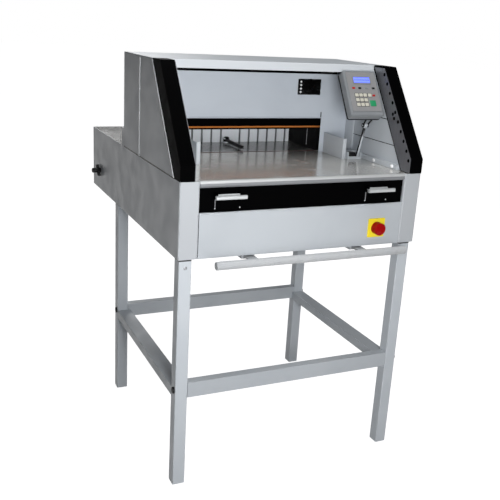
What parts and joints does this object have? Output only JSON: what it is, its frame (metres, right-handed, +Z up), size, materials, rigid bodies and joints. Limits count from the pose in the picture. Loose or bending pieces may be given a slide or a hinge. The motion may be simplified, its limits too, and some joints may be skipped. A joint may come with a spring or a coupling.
{
  "type": "programmable paper cutter",
  "caption": "Electric paper guillotine on a tube stand: guarded throat, clamp and slanting knife, screw-driven backgauge, tilting control panel, hand levers and press bar.",
  "frame": {"origin": "on the floor, at the middle of the bounding box of the whole machine with its press bar and wing latch", "axes": "+X to the operator's right, +Y from the operator towards the rear table, +Z up"},
  "size_m": [0.854, 1.1485, 1.302],
  "materials": {
    "light_paint": "satin light grey powder coat",
    "grey_paint": "satin grey powder coat",
    "white_paint": "satin white powder coat",
    "black_paint": "satin black powder coat",
    "dark_casting": "painted dark grey",
    "table_metal": "polished plate",
    "bright_metal": "satin anodised",
    "gauge_metal": "painted light grey",
    "steel": "ground",
    "knife_steel": "ground edge with a copper sheen",
    "stick_plastic": "plain",
    "black_plastic": "fine grain",
    "case_plastic": "fine grain",
    "face_plastic": "membrane keypad",
    "yellow_plastic": "smooth",
    "red_plastic": "smooth"
  },
  "bodies": {
    "machine": {"leg_front_left": "light_paint", "leg_front_right": "light_paint", "leg_rear_left": "light_paint", "leg_rear_right": "light_paint", "rail_front": "light_paint", "rail_rear": "light_paint", "rail_left": "light_paint", "rail_right": "light_paint", "base_tray": "grey_paint", "side_panel_left": "grey_paint", "side_panel_right": "grey_paint", "front_panel": "light_paint", "lever_panel": "black_paint", "rear_panel": "grey_paint", "power_inlet": "black_plastic", "base_frame_left": "dark_casting", "base_frame_right": "dark_casting", "table_edge": "bright_metal", "front_table": "table_metal", "rear_table": "table_metal", "cut_stick": "stick_plastic", "post_cover_left": "black_paint", "post_cover_right": "black_paint", "curtain_plate_left": "steel", "curtain_plate_right": "steel", "cheek_left": "grey_paint", "cheek_right": "grey_paint", "inner_wall_left": "light_paint", "inner_wall_right": "light_paint", "top_cover": "light_paint", "rear_cover": "grey_paint", "knife_cover": "light_paint", "fence_bar_left": "light_paint", "fence_bar_right": "light_paint", "side_guide_left": "light_paint", "side_guide_right": "light_paint", "head_frame_left": "dark_casting", "head_frame_right": "dark_casting", "head_beam": "dark_casting", "knife_drive": "dark_casting", "gauge_motor": "black_paint", "switch_plate": "yellow_plastic", "switch_body": "black_plastic", "panel_stand": "light_paint"},
    "knife": {"knife_carrier": "black_paint", "knife_blade": "knife_steel", "pull_rod": "steel"},
    "clamp": {"clamp_beam": "black_paint"},
    "backgauge": {"backgauge_face": "gauge_metal", "gauge_carriage": "dark_casting"},
    "stop_lever": {"gauge_lever": "black_plastic"},
    "lead_screw": {"gauge_screw": "steel"},
    "foot_bar": {"press_bar": "white_paint"},
    "left_lever": {"cut_lever_left": "bright_metal"},
    "right_lever": {"cut_lever_right": "bright_metal"},
    "main_knob": {"switch_knob": "red_plastic"},
    "control_panel": {"panel_case": "case_plastic", "panel_face": "face_plastic", "panel_yoke": "steel"},
    "latch": {"wing_latch": "black_plastic"}
  },
  "joints": [
    {"name": "knife_stroke", "type": "slide", "parent": "machine", "child": "knife", "axis": [-0.2343, 0, -0.9722], "range_m": [0, 0.0853]},
    {"name": "clamp_stroke", "type": "slide", "parent": "machine", "child": "clamp", "axis": [0, 0, -1], "range_m": [0, 0.078]},
    {"name": "backgauge_travel", "type": "slide", "parent": "machine", "child": "backgauge", "axis": [0, 1, 0], "range_m": [-0.167, 0.318]},
    {"name": "gauge_screw_turn", "type": "hinge", "parent": "machine", "child": "lead_screw", "pos_m": [0.017, 0.27425, 0.935], "axis": [0, 1, 0], "range_deg": [-11460, 6030]},
    {"name": "gauge_lever_swing", "type": "hinge", "parent": "backgauge", "child": "stop_lever", "pos_m": [0.007, 0.14425, 0.994], "axis": [0, 0, 1], "range_deg": [0, 40]},
    {"name": "press_bar_push", "type": "slide", "parent": "machine", "child": "foot_bar", "axis": [0, 1, 0], "range_m": [0, 0.03], "stiffness_N_per_m": 500, "springref_m": -0.012},
    {"name": "cut_lever_left_press", "type": "hinge", "parent": "machine", "child": "left_lever", "pos_m": [-0.2455, -0.48975, 0.9395], "axis": [1, 0, 0], "range_deg": [0, 18], "stiffness_Nm_per_rad": 0.8, "springref_deg": -14.32},
    {"name": "cut_lever_right_press", "type": "hinge", "parent": "machine", "child": "right_lever", "pos_m": [0.2635, -0.48975, 0.9395], "axis": [1, 0, 0], "range_deg": [0, 18], "stiffness_Nm_per_rad": 0.8, "springref_deg": -14.32},
    {"name": "main_switch_turn", "type": "hinge", "parent": "machine", "child": "main_knob", "pos_m": [0.274, -0.48905, 0.812], "axis": [0, 1, 0], "range_deg": [0, 90]},
    {"name": "panel_tilt", "type": "hinge", "parent": "machine", "child": "control_panel", "pos_m": [0.348, -0.25375, 1.105], "axis": [1, 0, 0], "range_deg": [-2, 20]},
    {"name": "wing_latch_turn", "type": "hinge", "parent": "machine", "child": "latch", "pos_m": [-0.393, 0.45225, 0.83], "axis": [1, 0, 0], "range_deg": [0, 90]}
  ],
  "couplings": [
    {"joint": "gauge_screw_turn", "follows": "backgauge_travel", "rad_per_m": -628.32}
  ]
}
